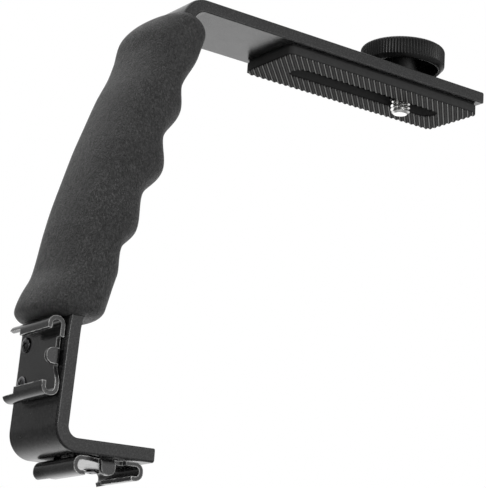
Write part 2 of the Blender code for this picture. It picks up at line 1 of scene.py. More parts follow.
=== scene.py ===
"""Visual model of the camera flash bracket: detailed pieces and procedural
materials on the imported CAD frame, a plain pale floor, soft studio light and the
photograph's camera. Lengths in the shape code are millimetres on the bench
(x = 0 on the outer face of the lower leg, y = 0 on the strip's front edge,
z = 0 under the lower arm); mm() turns them into the frame's metres."""
import math

import bmesh
import bpy
from mathutils import Matrix, Vector


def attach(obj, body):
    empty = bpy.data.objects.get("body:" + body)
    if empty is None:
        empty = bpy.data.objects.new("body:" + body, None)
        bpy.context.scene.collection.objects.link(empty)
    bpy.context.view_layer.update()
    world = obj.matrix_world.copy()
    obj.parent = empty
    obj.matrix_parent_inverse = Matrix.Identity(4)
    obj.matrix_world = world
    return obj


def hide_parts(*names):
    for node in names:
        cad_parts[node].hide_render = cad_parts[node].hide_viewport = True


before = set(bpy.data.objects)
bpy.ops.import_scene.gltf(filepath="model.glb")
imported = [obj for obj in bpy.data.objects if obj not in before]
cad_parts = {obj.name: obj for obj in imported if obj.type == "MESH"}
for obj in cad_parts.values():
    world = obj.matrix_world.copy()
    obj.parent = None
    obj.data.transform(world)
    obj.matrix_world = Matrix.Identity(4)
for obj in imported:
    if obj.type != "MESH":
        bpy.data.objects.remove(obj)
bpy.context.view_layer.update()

DATUM = (122.7, 13.0, 126.25)
scene = bpy.context.scene


def mm(x, y, z):
    return Vector(((x - DATUM[0]) / 1000, (y - DATUM[1]) / 1000, (z - DATUM[2]) / 1000))


# ---------------------------------------------------------------- mesh helpers
def new_object(name, mesh):
    ob = bpy.data.objects.new(name, mesh)
    scene.collection.objects.link(ob)
    return ob


def from_bmesh(name, bm):
    me = bpy.data.meshes.new(name)
    bm.to_mesh(me)
    bm.free()
    return new_object(name, me)


def loft(name, rings, closed_ends=True):
    """Skin over rings of equal point count, ends capped."""
    bm = bmesh.new()
    vs = [[bm.verts.new(p) for p in ring] for ring in rings]
    n = len(rings[0])
    for a, b in zip(vs, vs[1:]):
        for i in range(n):
            j = (i + 1) % n
            bm.faces.new((a[i], a[j], b[j], b[i]))
    if closed_ends:
        bm.faces.new(vs[0][::-1])
        bm.faces.new(vs[-1])
    bmesh.ops.recalc_face_normals(bm, faces=bm.faces)
    return from_bmesh(name, bm)


def turned(name, profile, steps=64, matrix=Matrix.Identity(4)):
    """Body turned about Z from (radius, height) in mm; points with radius 0 close it."""
    bm = bmesh.new()
    rows = []
    for r, h in profile:
        if r <= 1e-9:
            rows.append([bm.verts.new((0, 0, h / 1000))])
        else:
            rows.append([bm.verts.new((r * math.cos(math.tau * k / steps) / 1000,
                                       r * math.sin(math.tau * k / steps) / 1000, h / 1000)) for k in range(steps)])
    closed = profile[0] == profile[-1]
    if closed:
        for v in rows.pop():
            bm.verts.remove(v)
        rows.append(rows[0])
    for a, b in zip(rows, rows[1:]):
        for i in range(steps):
            j = (i + 1) % steps
            if len(a) == 1 and len(b) == 1:
                continue
            if len(a) == 1:
                bm.faces.new((a[0], b[i], b[j]))
            elif len(b) == 1:
                bm.faces.new((a[i], b[0], a[j]))
            else:
                bm.faces.new((a[i], b[i], b[j], a[j]))
    bmesh.ops.recalc_face_normals(bm, faces=bm.faces)
    ob = from_bmesh(name, bm)
    ob.data.transform(matrix)
    return ob


def prism(name, loop, lo, hi, matrix=Matrix.Identity(4)):
    """Outline in the XY plane, extruded from lo to hi (metres)."""
    ob = loft(name, [[(x, y, lo) for x, y in loop], [(x, y, hi) for x, y in loop]])
    ob.data.transform(matrix)
    return ob


def apply_all(ob):
    deps = bpy.context.evaluated_depsgraph_get()
    deps.update()
    me = bpy.data.meshes.new_from_object(ob.evaluated_get(deps))
    ob.modifiers.clear()
    ob.data = me
    return ob


def carve(ob, tool, operation="DIFFERENCE"):
    """Boolean ob with tool, apply it, and remove the tool."""
    m = ob.modifiers.new("carve", "BOOLEAN")
    m.operation = operation
    m.solver = "EXACT"
    m.object = tool
    bpy.context.view_layer.update()
    apply_all(ob)
    bpy.data.objects.remove(tool, do_unlink=True)
    return ob


def soften(ob, width, segments=3, angle=30.0, harden=True):
    b = ob.modifiers.new("edges", "BEVEL")
    b.width = width / 1000
    b.segments = segments
    b.limit_method = "ANGLE"
    b.angle_limit = math.radians(angle)
    b.use_clamp_overlap = True
    b.harden_normals = False
    return ob


def finish_piece(ob, name, mat, body, nodes, smooth=35.0, weighted=False):
    """Name, shade, paint and fasten a piece to its CAD body."""
    apply_all(ob)
    ob.name = name
    ob.data.name = name
    ob.data.materials.clear()
    ob.data.materials.append(mat)
    for p in ob.data.polygons:
        p.material_index = 0
    ob.data.shade_smooth()
    ob.data.set_sharp_from_angle(angle=math.radians(smooth))
    if weighted:
        w = ob.modifiers.new("normals", "WEIGHTED_NORMAL")
        w.keep_sharp = True
        w.weight = 70
        apply_all(ob)
    if nodes:
        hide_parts(*nodes)
    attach(ob, body)
    return ob


# ---------------------------------------------------------------- materials
# the pad's outline, thickness and ribs, which its rubber follows
PAD_X0, PAD_X1, PAD_Y0, PAD_Y1, PAD_R, PAD_T = 68.8, 146.2, 1.6, 25.1, 1.8, 2.85
RIB_PITCH, RIB_ANGLE, RIB_DEPTH = 1.60, 44.0, 0.36

class Shader:
    """Small helper round a material's node tree. Texture places are the piece's
    own metres, so the grain keeps its size and stays on the surface."""

    def __init__(self, name, colour, roughness, metallic=0.0, ior=1.5):
        self.m = bpy.data.materials.new(name)
        self.m.use_nodes = True
        self.t = self.m.node_tree
        self.b = self.t.nodes["Principled BSDF"]
        self.b.inputs["Base Color"].default_value = (*colour, 1.0)
        self.b.inputs["Roughness"].default_value = roughness
        self.b.inputs["Metallic"].default_value = metallic
        self.b.inputs["IOR"].default_value = ior
        self.m.diffuse_color = (*colour, 1.0)
        self.coord = self.t.nodes.new("ShaderNodeTexCoord").outputs["Object"]

    def node(self, kind, **values):
        n = self.t.nodes.new(kind)
        for k, v in values.items():
            setattr(n, k, v)
        return n

    def link(self, a, b):
        self.t.links.new(a, b)

    def noise(self, scale, detail=2.0, rough=0.5, coord=None, distortion=0.0):
        n = self.node("ShaderNodeTexNoise")
        n.inputs["Scale"].default_value = scale
        n.inputs["Detail"].default_value = detail
        n.inputs["Roughness"].default_value = rough
        n.inputs["Distortion"].default_value = distortion
        self.link(coord or self.coord, n.inputs["Vector"])
        return n.outputs["Fac"]

    def cells(self, scale, feature="F1", smooth=0.0, coord=None, randomness=1.0):
        n = self.node("ShaderNodeTexVoronoi", feature=feature)
        n.inputs["Scale"].default_value = scale
        n.inputs["Randomness"].default_value = randomness
        if feature == "SMOOTH_F1":
            n.inputs["Smoothness"].default_value = smooth
        self.link(coord or self.coord, n.inputs["Vector"])
        return n.outputs["Distance"]

    def math(self, op, a, b=None, clamp=False):
        n = self.node("ShaderNodeMath", operation=op, use_clamp=clamp)
        for i, v in enumerate((a, b)):
            if v is None:
                continue
            if isinstance(v, (int, float)):
                n.inputs[i].default_value = v
            else:
                self.link(v, n.inputs[i])
        return n.outputs[0]

    def ramp(self, value, lo, hi, out_lo=0.0, out_hi=1.0):
        n = self.node("ShaderNodeMapRange", clamp=True)
        n.inputs["From Min"].default_value = lo
        n.inputs["From Max"].default_value = hi
        n.inputs["To Min"].default_value = out_lo
        n.inputs["To Max"].default_value = out_hi
        self.link(value, n.inputs["Value"])
        return n.outputs["Result"]

    def mix(self, fac, a, b):
        n = self.node("ShaderNodeMix", data_type="RGBA")
        self.link(fac, n.inputs["Factor"])
        for sock, v in (("A", a), ("B", b)):
            s = [i for i in n.inputs if i.name == sock and i.type == "RGBA"][0]
            if isinstance(v, tuple):
                s.default_value = (*v, 1.0)
            else:
                self.link(v, s)
        return [o for o in n.outputs if o.type == "RGBA"][0]

    def bump(self, height, distance, strength=1.0, chain=None):
        n = self.node("ShaderNodeBump")
        n.inputs["Strength"].default_value = strength
        n.inputs["Distance"].default_value = distance
        self.link(height, n.inputs["Height"])
        if chain is not None:
            self.link(chain, n.inputs["Normal"])
        return n.outputs["Normal"]

    def to(self, socket, value):
        self.link(value, self.b.inputs[socket])
        return self


def paint(name, dark, light, rough, peel=1.0, dust=0.0, painted_edge_highlight=None, grain=0.4, level=0.5):
    """Satin black stoving paint on steel: orange peel, fine grit, stray dust, and
    a painted highlight that lightens the edges in the base colour, in patches."""
    s = Shader(name, dark, rough)
    s.b.inputs["Specular IOR Level"].default_value = level
    peel_n = s.noise(650, 3.0, 0.55)
    grit = s.noise(3300, 2.0, 0.6)
    normal = s.bump(peel_n, 0.00002 * peel, 0.6)
    normal = s.bump(grit, 0.000012 * peel, 0.8, normal)
    s.to("Normal", normal)
    tone = s.ramp(s.noise(120, 4.0, 0.6), 0.35, 0.7)
    col = s.mix(tone, dark, light)
    speck = s.ramp(s.noise(1700, 3.0, 0.8), 0.46, 0.68)
    col = s.mix(s.math("MULTIPLY", speck, grain), col, (0.075, 0.075, 0.075))
    if dust:
        spots = s.cells(420)
        mask = s.ramp(spots, 0.035, 0.075, 1.0, 0.0)
        rare = s.ramp(s.noise(95, 1.0), 0.62, 0.66)
        col = s.mix(s.math("MULTIPLY", mask, rare), col, (dust, dust, dust))
    # painted highlight: edges found through the bevel normal are lightened towards the tint in the base colour, broken
    # into patches by noise
    if painted_edge_highlight:
        radius, amount, tint, low, high = painted_edge_highlight
        bev = s.node("ShaderNodeBevel", samples=6)
        bev.inputs["Radius"].default_value = radius / 1000
        geo = s.node("ShaderNodeNewGeometry")
        dot = s.node("ShaderNodeVectorMath", operation="DOT_PRODUCT")
        s.link(bev.outputs["Normal"], dot.inputs[0])
        s.link(geo.outputs["Normal"], dot.inputs[1])
        edge = s.ramp(dot.outputs["Value"], low, high, 1.0, 0.0)
        highlight_patches = s.ramp(s.noise(480, 3.0, 0.6), 0.36, 0.62, 0.12, 1.0)
        col = s.mix(s.math("MULTIPLY", s.math("MULTIPLY", edge, highlight_patches), amount), col, tint)
    s.to("Base Color", col)
    s.to("Roughness", s.ramp(s.noise(260, 4.0, 0.65), 0.3, 0.7, rough - 0.035, rough + 0.045))
    return s.m


def grip_skin():
    """Soft moulded skin: leather grain of small cells and creases, with painted shade in the creases, over broad
    mottling.
    """
    dark, light = (0.017, 0.017, 0.0174), (0.036, 0.036, 0.0365)
    s = Shader("grip_skin", dark, 0.50, ior=1.48)
    warp = s.node("ShaderNodeMapping")
    warp.inputs["Rotation"].default_value = (0.0, math.radians(16.0), 0.0)
    warp.inputs["Scale"].default_value = (1.0, 1.0, 0.60)
    s.link(s.coord, warp.inputs["Vector"])
    c = warp.outputs["Vector"]
    edge = s.ramp(s.cells(1350, "DISTANCE_TO_EDGE", coord=c), 0.0, 0.16)
    cell = s.ramp(s.cells(1350, "SMOOTH_F1", 0.3, c), 0.1, 0.7, 1.0, 0.0)
    small = s.ramp(s.cells(2600, "DISTANCE_TO_EDGE", coord=c), 0.0, 0.2)
    lump = s.noise(760, 3.0, 0.6, c)
    fine = s.noise(3600, 2.0, 0.6, c)
    normal = s.bump(s.noise(90, 2.0, 0.5), 0.0003, 0.30)
    normal = s.bump(lump, 0.00022, 0.55, normal)
    normal = s.bump(edge, 0.00009, 0.75, normal)
    normal = s.bump(cell, 0.00012, 0.45, normal)
    normal = s.bump(small, 0.00012, 0.9, normal)
    normal = s.bump(fine, 0.00014, 1.0, normal)
    s.to("Normal", normal)
    tone = s.ramp(lump, 0.32, 0.70)
    col = s.mix(tone, dark, light)
    # painted shade: the grain's creases are darkened in the base colour
    col = s.mix(s.ramp(edge, 0.0, 1.0, 0.6, 0.0), col, (0.010, 0.010, 0.010))
    rubbed = s.ramp(s.noise(60, 2.0, 0.5), 0.40, 0.62, 0.55, 1.0)
    pale = s.math("MULTIPLY", s.ramp(s.noise(2300, 2.0, 0.8, c), 0.47, 0.66), rubbed)
    col = s.mix(pale, col, (0.092, 0.092, 0.091))
    col = s.mix(s.ramp(s.noise(2000, 2.0, 0.8, c), 0.36, 0.50, 0.9, 0.0), col, (0.005, 0.005, 0.005))
    s.to("Base Color", col)
    s.to("Roughness", s.ramp(lump, 0.3, 0.7, 0.56, 0.42))
    s.b.inputs["Sheen Weight"].default_value = 0.06
    s.b.inputs["Sheen Roughness"].default_value = 0.4
    return s.m


def pad_rubber():
    """Matt moulded rubber with painted highlights in the base colour: a bright line along one shoulder
    of each rib, a fainter line along the other side, and side walls painted lighter than the ribbed face."""
    s = Shader("pad_rubber", (0.030, 0.030, 0.030), 0.62, ior=1.40)
    normal = s.bump(s.noise(1500, 3.0, 0.6), 0.00004, 0.6)
    normal = s.bump(s.noise(6000, 1.0), 0.00001, 0.6, normal)
    s.to("Normal", normal)
    grime = s.noise(900, 4.0, 0.62)
    col = s.mix(s.ramp(grime, 0.34, 0.70), (0.011, 0.011, 0.011), (0.021, 0.021, 0.0213))
    # how far across the ribs, in pitches from the first groove
    turn = math.radians(RIB_ANGLE)
    mid = mm((PAD_X0 + PAD_X1) / 2, 13.0, DATUM[2])
    dot = s.node("ShaderNodeVectorMath", operation="DOT_PRODUCT")
    s.link(s.coord, dot.inputs[0])
    dot.inputs[1].default_value = (math.cos(turn), -math.sin(turn), 0.0)
    shift = mid.x * math.cos(turn) - mid.y * math.sin(turn)
    across = s.math("MULTIPLY", s.math("SUBTRACT", dot.outputs["Value"], shift), 1000 / RIB_PITCH)
    phase = s.math("FRACT", across)
    split = s.node("ShaderNodeSeparateXYZ")
    s.link(s.coord, split.inputs[0])
    face = s.ramp(split.outputs["Z"], RIB_DEPTH / 1000, (RIB_DEPTH + 0.12) / 1000, 1.0, 0.0)
    # painted light: the side walls above the ribs are painted lighter than the ribbed face
    col = s.mix(s.ramp(split.outputs["Z"], 0.0005, 0.0009), col, s.mix(grime, (0.036, 0.036, 0.036), (0.052, 0.052, 0.052)))
    highlight_breakup = s.ramp(s.noise(700, 3.0, 0.6), 0.25, 0.60, 0.62, 1.0)
    # painted highlights along the ribs: a bright line on one shoulder and a fainter one on the other, kept to the
    # ribbed face
    for at, wide, tone in ((0.34, 0.13, (0.36, 0.36, 0.353)), (0.84, 0.15, (0.080, 0.080, 0.078))):
        line = s.ramp(s.math("ABSOLUTE", s.math("SUBTRACT", phase, at)), 0.0, wide, 1.0, 0.0)
        line = s.math("MULTIPLY", s.math("MULTIPLY", line, highlight_breakup), face)
        col = s.mix(line, col, tone)
    s.to("Base Color", col)
    s.to("Roughness", s.ramp(s.noise(700, 3.0, 0.6), 0.3, 0.7, 0.55, 0.72))
    s.b.inputs["Specular IOR Level"].default_value = 0.12
    return s.m


def nickel():
    """Bright nickel plate with faint turning lines and softened patches."""
    s = Shader("screw_plate", (0.80, 0.80, 0.79), 0.16, metallic=1.0)
    stretch = s.node("ShaderNodeMapping")
    stretch.inputs["Scale"].default_value = (0.25, 0.25, 6.0)
    s.link(s.coord, stretch.inputs["Vector"])
    lines = s.noise(2600, 2.0, 0.6, stretch.outputs["Vector"])
    s.to("Normal", s.bump(lines, 0.000004, 0.5, s.bump(s.noise(1500, 2.0), 0.000012, 0.6)))
    s.to("Roughness", s.ramp(s.noise(900, 3.0, 0.6), 0.3, 0.7, 0.07, 0.17))
    tone = s.ramp(s.noise(600, 3.0, 0.6), 0.3, 0.7)
    s.to("Base Color", s.mix(tone, (0.86, 0.86, 0.85), (0.72, 0.72, 0.71)))
    return s.m


def plastic(name, dark, light, rough, bump=1.0, level=0.5):
    """Satin moulded plastic with a faint spark-eroded texture."""
    s = Shader(name, dark, rough, ior=1.49)
    s.b.inputs["Specular IOR Level"].default_value = level
    s.to("Normal", s.bump(s.noise(3000, 3.0, 0.6), 0.000012 * bump, 0.7, s.bump(s.noise(500, 2.0), 0.00002 * bump, 0.5)))
    tone = s.ramp(s.noise(260, 4.0, 0.6), 0.32, 0.7)
    s.to("Base Color", s.mix(tone, dark, light))
    s.to("Roughness", s.ramp(s.noise(800, 3.0, 0.6), 0.3, 0.7, rough - 0.05, rough + 0.06))
    return s.m


def dark_steel(name, colour, rough):
    """Blackened steel with bare-metal glints where it rubs."""
    s = Shader(name, colour, rough, metallic=1.0)
    s.to("Normal", s.bump(s.noise(2600, 3.0, 0.6), 0.000014, 0.7))
    tone = s.ramp(s.noise(1300, 4.0, 0.65), 0.35, 0.72)
    s.to("Base Color", s.mix(tone, colour, tuple(min(1.0, 2.2 * c) for c in colour)))
    s.to("Roughness", s.ramp(s.noise(1500, 3.0, 0.6), 0.3, 0.7, rough - 0.08, rough + 0.08))
    return s.m


# the strip and shoe paints carry a painted highlight along their edges
MAT = {
    "strip": paint("strip_paint", (0.006, 0.006, 0.0062), (0.010, 0.010, 0.0102), 0.23, dust=0.16, painted_edge_highlight=(1.00, 0.7, (0.16, 0.16, 0.16), 0.90, 0.97)),
    "shoe": paint("shoe_paint", (0.010, 0.010, 0.0102), (0.018, 0.018, 0.0182), 0.15, 0.8, dust=0.12, painted_edge_highlight=(0.60, 1.0, (0.90, 0.90, 0.89), 0.80, 0.94), level=0.70),
    "grip": grip_skin(),
    "pad": pad_rubber(),
    "glue": plastic("glue_sheet", (0.008, 0.008, 0.008), (0.012, 0.012, 0.012), 0.8, 2.0),
    "screw": nickel(),
    "knob": plastic("knob_plastic", (0.0035, 0.0035, 0.0036), (0.007, 0.007, 0.0071), 0.27, level=0.36),
    "washer": plastic("washer_nylon", (0.024, 0.024, 0.024), (0.034, 0.034, 0.034), 0.48),
    "ring": dark_steel("spring_steel", (0.10, 0.10, 0.10), 0.40),
    "black_screw": dark_steel("black_screw", (0.09, 0.09, 0.092), 0.22),
}

# ---------------------------------------------------------------- the strip
STRIP_W, STRIP_T = 26.0, 3.9
ARM_TOP, ARM_END, FOOT_END, FOOT_Z = 134.0, 147.4, 30.7, -0.3
LEG_LEAN, HANDLE_LEAN, HANDLE_BEND_Z = 2.4, 16.8, 34.5
R_FOOT, R_HANDLE, R_ARM = 5.0, 28.0, 6.0
EDGE_OUT, EDGE_IN = 0.75, 0.45      # rounding: outer side of the bends, inner side
OUTER = -1.0                        # the line runs from the foot up, with the outer side on its left


def strip_path():
    zc = STRIP_T / 2
    lean = math.tan(math.radians(LEG_LEAN))
    lean2 = math.tan(math.radians(HANDLE_LEAN))
    p1 = (zc - (10.0 - FOOT_Z - zc) * lean, FOOT_Z + zc)
    p2 = (zc + (HANDLE_BEND_Z - 10.0) * lean, HANDLE_BEND_Z)
    top = ARM_TOP - zc
    p3 = (p2[0] + (top - p2[1]) * lean2, top)
    return [(FOOT_END, FOOT_Z + zc), p1, p2, p3, (ARM_END, top)], [R_FOOT, R_HANDLE, R_ARM]


def centre_line(step_deg=3.0):
    """(x, z) and unit tangent along the strip's centre line."""
    pts, radii = strip_path()

    def unit(a, b):
        n = math.hypot(b[0] - a[0], b[1] - a[1])
        return (b[0] - a[0]) / n, (b[1] - a[1]) / n

    d = unit(pts[0], pts[1])
    out = [(pts[0], d)]
    for i, r in enumerate(radii):
        a, b, c = pts[i], pts[i + 1], pts[i + 2]
        d0, d1 = unit(a, b), unit(b, c)
        turn = math.atan2(d0[0] * d1[1] - d0[1] * d1[0], d0[0] * d1[0] + d0[1] * d1[1])
        tl = r * math.tan(abs(turn) / 2)
        start = (b[0] - d0[0] * tl, b[1] - d0[1] * tl)
        side = 1 if turn > 0 else -1
        centre = (start[0] - d0[1] * r * side, start[1] + d0[0] * r * side)
        n = max(3, int(math.ceil(abs(math.degrees(turn)) / step_deg)))
        for k in range(n + 1):
            t = turn * k / n
            ca, sa = math.cos(t), math.sin(t)
            vx, vz = start[0] - centre[0], start[1] - centre[1]
            out.append(((centre[0] + vx * ca - vz * sa, centre[1] + vx * sa + vz * ca),
                        (d0[0] * ca - d0[1] * sa, d0[0] * sa + d0[1] * ca)))
    out.append((pts[-1], unit(pts[-2], pts[-1])))
    return out


def strip_section(shrink=0.0, steps=5):
    """Rounded cross-section (w, y): w is out of the strip on the outer side of its
    bends, y across it. The outer edges have the larger rounding."""
    pts = []
    hw, ht = STRIP_W / 2 - shrink, STRIP_T / 2 - shrink
    for sw, sy, r in ((-1, -1, EDGE_IN), (1, -1, EDGE_OUT), (1, 1, EDGE_OUT), (-1, 1, EDGE_IN)):
        r = max(0.05, r - shrink)
        cw, cy = sw * (ht - r), sy * (hw - r)
        a0 = {(-1, -1): 180, (1, -1): 270, (1, 1): 0, (-1, 1): 90}[(sw, sy)]
        for k in range(steps + 1):
            a = math.radians(a0 + 90 * k / steps)
            pts.append((cw + r * math.cos(a), 13.0 + cy + r * math.sin(a)))
    return pts


def build_bar():
    line = centre_line()
    ends = (0.0, 0.12, 0.28, 0.45)

    def ring(p, d, shrink, back):
        nx, nz = d[1], -d[0]            # out of the strip, on the outer side of its bends
        x, z = p[0] + d[0] * back, p[1] + d[1] * back
        return [mm(x + nx * w * OUTER, y, z + nz * w * OUTER) for w, y in strip_section(shrink)]

    rings = [ring(*line[0], 0.45 - math.sqrt(max(0.0, 0.45 ** 2 - (0.45 - e) ** 2)), e) for e in ends]
    rings += [ring(p, d, 0.0, 0.0) for p, d in line[1:-1]]
    rings += [ring(*line[-1], 0.45 - math.sqrt(max(0.0, 0.45 ** 2 - (0.45 - e) ** 2)), -e) for e in ends[::-1]]
    return loft("bar_detail", rings)


def stadium(x0, x1, y, w, steps=16):
    r = w / 2
    pts = []
    for k in range(steps + 1):
        a = -math.pi / 2 + math.pi * k / steps
        pts.append((x1 + r * math.cos(a), y + r * math.sin(a)))
    for k in range(steps + 1):
        a = math.pi / 2 + math.pi * k / steps
        pts.append((x0 + r * math.cos(a), y + r * math.sin(a)))
    return pts


SLOT_X0, SLOT_X1 = 82.9, 133.0
PAD_SLOT_X0, PAD_SLOT_X1 = 81.8, 133.7
ARM_SLOT_W, PAD_SLOT_W = 5.8, 7.4


def slot_tool(width, z0, z1, chamfer, name, x0=SLOT_X0, x1=SLOT_X1):
    """Slot-shaped cutter with chamfered mouths at z0 and z1."""
    levels = [(z0 - 2.0, chamfer), (z0, chamfer), (z0 + chamfer, 0.0), (z1 - chamfer, 0.0), (z1, chamfer), (z1 + 2.0, chamfer)]
    rings = []
    for z, grow in levels:
        rings.append([mm(x, y, z) for x, y in stadium(x0, x1, 13.0, width + 2 * grow)])
    return loft(name, rings)


SHOE_TURN, FOOT_SKEW = math.radians(2.3), math.tan(math.radians(2.4))


def shoe_frame(which):
    if which == "side":
        zc = 23.6
        lean = math.radians(LEG_LEAN)
        o = mm((zc - 10.0) * math.tan(lean) - (STRIP_T / 2) * (1 / math.cos(lean) - 1), 0, zc)
        u = Vector((math.sin(lean), 0, math.cos(lean)))
        w = Vector((-math.cos(lean), 0, math.sin(lean)))
    else:
        o = mm(16.9, -0.5, FOOT_Z)
        u, w = Vector((1, 0, 0)), Vector((0, 0, -1))
    v = Vector((0, 1, 0))
    m = Matrix.Identity(4)
    for i in range(3):
        m[i][0], m[i][1], m[i][2], m[i][3] = u[i], v[i], w[i], o[i]
    if which == "side":                     # the shoe sits a little askew on the leg
        pivot = Matrix.Translation((0, 0.0125, 0))
        return m @ pivot @ Matrix.Rotation(SHOE_TURN, 4, "Z") @ pivot.inverted()
    return m @ Matrix.Rotation(math.atan(FOOT_SKEW), 4, "X")


SHOE_SCREW_Y, SHOE_SCREW_PITCH = 19.2, 10.8

bar = build_bar()
for v in bar.data.vertices:                 # the fold is a little out of square
    x, y, z = (v.co[i] * 1000 + DATUM[i] for i in range(3))
    k = min(1.0, max(0.0, (12.0 - z) / 8.0))
    v.co.z -= FOOT_SKEW * y * k * k * (3 - 2 * k) / 1000
carve(bar, slot_tool(ARM_SLOT_W, ARM_TOP - STRIP_T, ARM_TOP, 0.25, "slot_tool"))
for which in ("side", "end"):
    for side in (1, -1):
        at = shoe_frame(which) @ Matrix.Translation((side * SHOE_SCREW_PITCH / 2000, SHOE_SCREW_Y / 1000, 0))
        carve(bar, turned("hole_tool", [(0, 1.0), (1.6, 1.0), (1.6, -3.65), (1.95, -4.1), (1.95, -6.0), (0, -6.0)], 32, at))
finish_piece(bar, "bar_detail", MAT["strip"], "bracket", ["frame_bar"], smooth=28, weighted=True)


# ---------------------------------------------------------------- accessory shoes
SHEET, SHOE_W, SHOE_H, SHOE_CURL, SHOE_LIP = 1.2, 21.2, 5.0, 2.3, 3.6
SHOE_Y0, SHOE_LIP_Y1, SHOE_Y1, SHOE_GAP = 1.0, 16.5, 22.4, 0.3
TAB_HALF, TAB_REACH = 2.15, 3.8
FLARE = {"side": (0.15, 0.2), "end": (0.4, 0.4)}      # lead-in of the +u and -u rails
NOTCH_UP, NOTCH_LOW, NOTCH_FLAT, NOTCH_DEPTH = 5.2, 6.3, 3.0, 1.8   # relief cut: square above, slanted below


def build_shoe(name, which, replaced):
    """Stamped sheet shoe: flat base, two rolled rails with turned-in lips, a round
    stop tab bent out of a relief cut, and lead-in ends past the lips."""
    t = SHEET / 2
    r = SHOE_CURL - t
    half = SHOE_W / 2 - t
    w0, w1 = SHOE_GAP + t, SHOE_GAP + SHOE_H - t
    prof = [(half - (SHOE_LIP - t), w1, "lip"), (half - (SHOE_LIP - t) + 0.5, w1, "lip")]
    n = 8
    for k in range(n + 1):
        a = math.pi / 2 - math.pi / 2 * k / n
        prof.append((half - r + r * math.cos(a), w1 - r + r * math.sin(a), "lip" if k == 0 else "curl"))
    for k in range(n + 1):
        a = -math.pi / 2 * k / n
        prof.append((half - r + r * math.cos(a), w0 + r + r * math.sin(a), "curl"))
    for u in (7.4, NOTCH_LOW, NOTCH_UP, 4.2, NOTCH_FLAT, TAB_HALF, 1.5, 0.75, 0.0):
        prof.append((u, w0, "base"))
    full = prof + [(-u, w, k) for u, w, k in prof[-2::-1]]
    rows = [SHOE_Y0, SHOE_Y0 + 0.55, SHOE_Y0 + NOTCH_DEPTH, 4.0, 6.5, 9.5, 12.5, SHOE_LIP_Y1 - 0.6, SHOE_LIP_Y1,
            SHOE_LIP_Y1 + 0.7, SHOE_LIP_Y1 + 1.5, SHOE_LIP_Y1 + 2.4, SHOE_LIP_Y1 + 3.4, SHOE_LIP_Y1 + 4.5, SHOE_Y1]
    bm = bmesh.new()
    grid = []
    for v in rows:
        out = 0.0
        if v > SHOE_LIP_Y1:
            out = ((v - SHOE_LIP_Y1) / (SHOE_Y1 - SHOE_LIP_Y1)) ** 1.6
        line = []
        for u, w, kind in full:
            lift = min(1.0, max(0.0, (w - w0) / (SHOE_H - SHEET))) * FLARE[which][0 if u > 0 else 1]
            at = v
            if v < rows[2] and kind == "base" and -NOTCH_LOW <= u <= -NOTCH_FLAT:   # the slanted corner
                start = SHOE_Y0 + NOTCH_DEPTH * (NOTCH_LOW + u) / (NOTCH_LOW - NOTCH_FLAT)
                at = start + (rows[2] - start) * (v - SHOE_Y0) / NOTCH_DEPTH
            line.append(bm.verts.new((u + math.copysign(out * lift, u), at, w)))
        grid.append(line)
    tab = [i for i, p in enumerate(full) if p[2] == "base" and abs(p[0]) <= TAB_HALF + 1e-6]
    for j in range(len(rows) - 1):
        for i in range(len(full) - 1):
            kinds = (full[i][2], full[i + 1][2])
            if rows[j] >= SHOE_LIP_Y1 and "lip" in kinds:
                continue
            lo, hi = full[i + 1][0], full[i][0]
            if j < 2 and kinds == ("base", "base") and lo >= -NOTCH_FLAT - 1e-6 and hi <= NOTCH_UP + 1e-6:
                continue
            bm.faces.new((grid[j][i], grid[j][i + 1], grid[j + 1][i + 1], grid[j + 1][i]))
    # the tab stands square out of the base behind the relief cut
    prev = [grid[2][i] for i in tab]
    v_root = rows[2]
    rb = 0.95
    path = []
    for k in range(1, 7):
        a = math.pi / 2 * k / 6
        path.append((v_root - rb * math.sin(a), w0 + rb * (1 - math.cos(a)), 1.0))
    v_t = v_root - rb
    reach = TAB_REACH
    start = rb
    full_to = reach - TAB_HALF
    heights = [start + (full_to - start) * 0.5, full_to] if full_to > start else []
    for k in range(1, 9):
        heights.append(full_to + (reach - full_to) * math.sin(math.pi / 2 * k / 8))
    for h in heights:
        d = (h - full_to) / TAB_HALF
        f = max(0.0, 1 - d ** 2.2) ** (1 / 2.2) if d > 0 else 1.0
        path.append((v_t, w0 + h, max(f, 0.12)))
    for v, w, f in path:
        cur = [bm.verts.new((full[i][0] * f, v, w)) for i in tab]
        for a in range(len(tab) - 1):
            bm.faces.new((prev[a], prev[a + 1], cur[a + 1], cur[a]))
        prev = cur
    for v in [v for v in bm.verts if not v.link_faces]:
        bm.verts.remove(v)
    bmesh.ops.remove_doubles(bm, verts=bm.verts, dist=1e-5)
    bmesh.ops.scale(bm, vec=(0.001, 0.001, 0.001), verts=bm.verts)
    bmesh.ops.recalc_face_normals(bm, faces=bm.faces)
    ob = from_bmesh(name, bm)
    s = ob.modifiers.new("sheet", "SOLIDIFY")
    s.thickness = SHEET / 1000
    s.offset = 0.0
    s.use_even_offset = True
    apply_all(ob)
    soften(ob, 0.16, 3, 50)
    apply_all(ob)
    ob.data.transform(shoe_frame(which))
    for side in (1, -1):
        at = shoe_frame(which) @ Matrix.Translation((side * SHOE_SCREW_PITCH / 2000, SHOE_SCREW_Y / 1000, (SHOE_GAP + t) / 1000))
        carve(ob, turned("hole_tool", [(0, 1.5), (1.6, 1.5), (1.6, -1.5), (0, -1.5)], 32, at))
    finish_piece(ob, name, MAT["shoe"], "bracket", [replaced], smooth=35, weighted=True)
    return ob


build_shoe("side_shoe_detail", "side", "side_shoe")
build_shoe("end_shoe_detail", "end", "end_shoe")


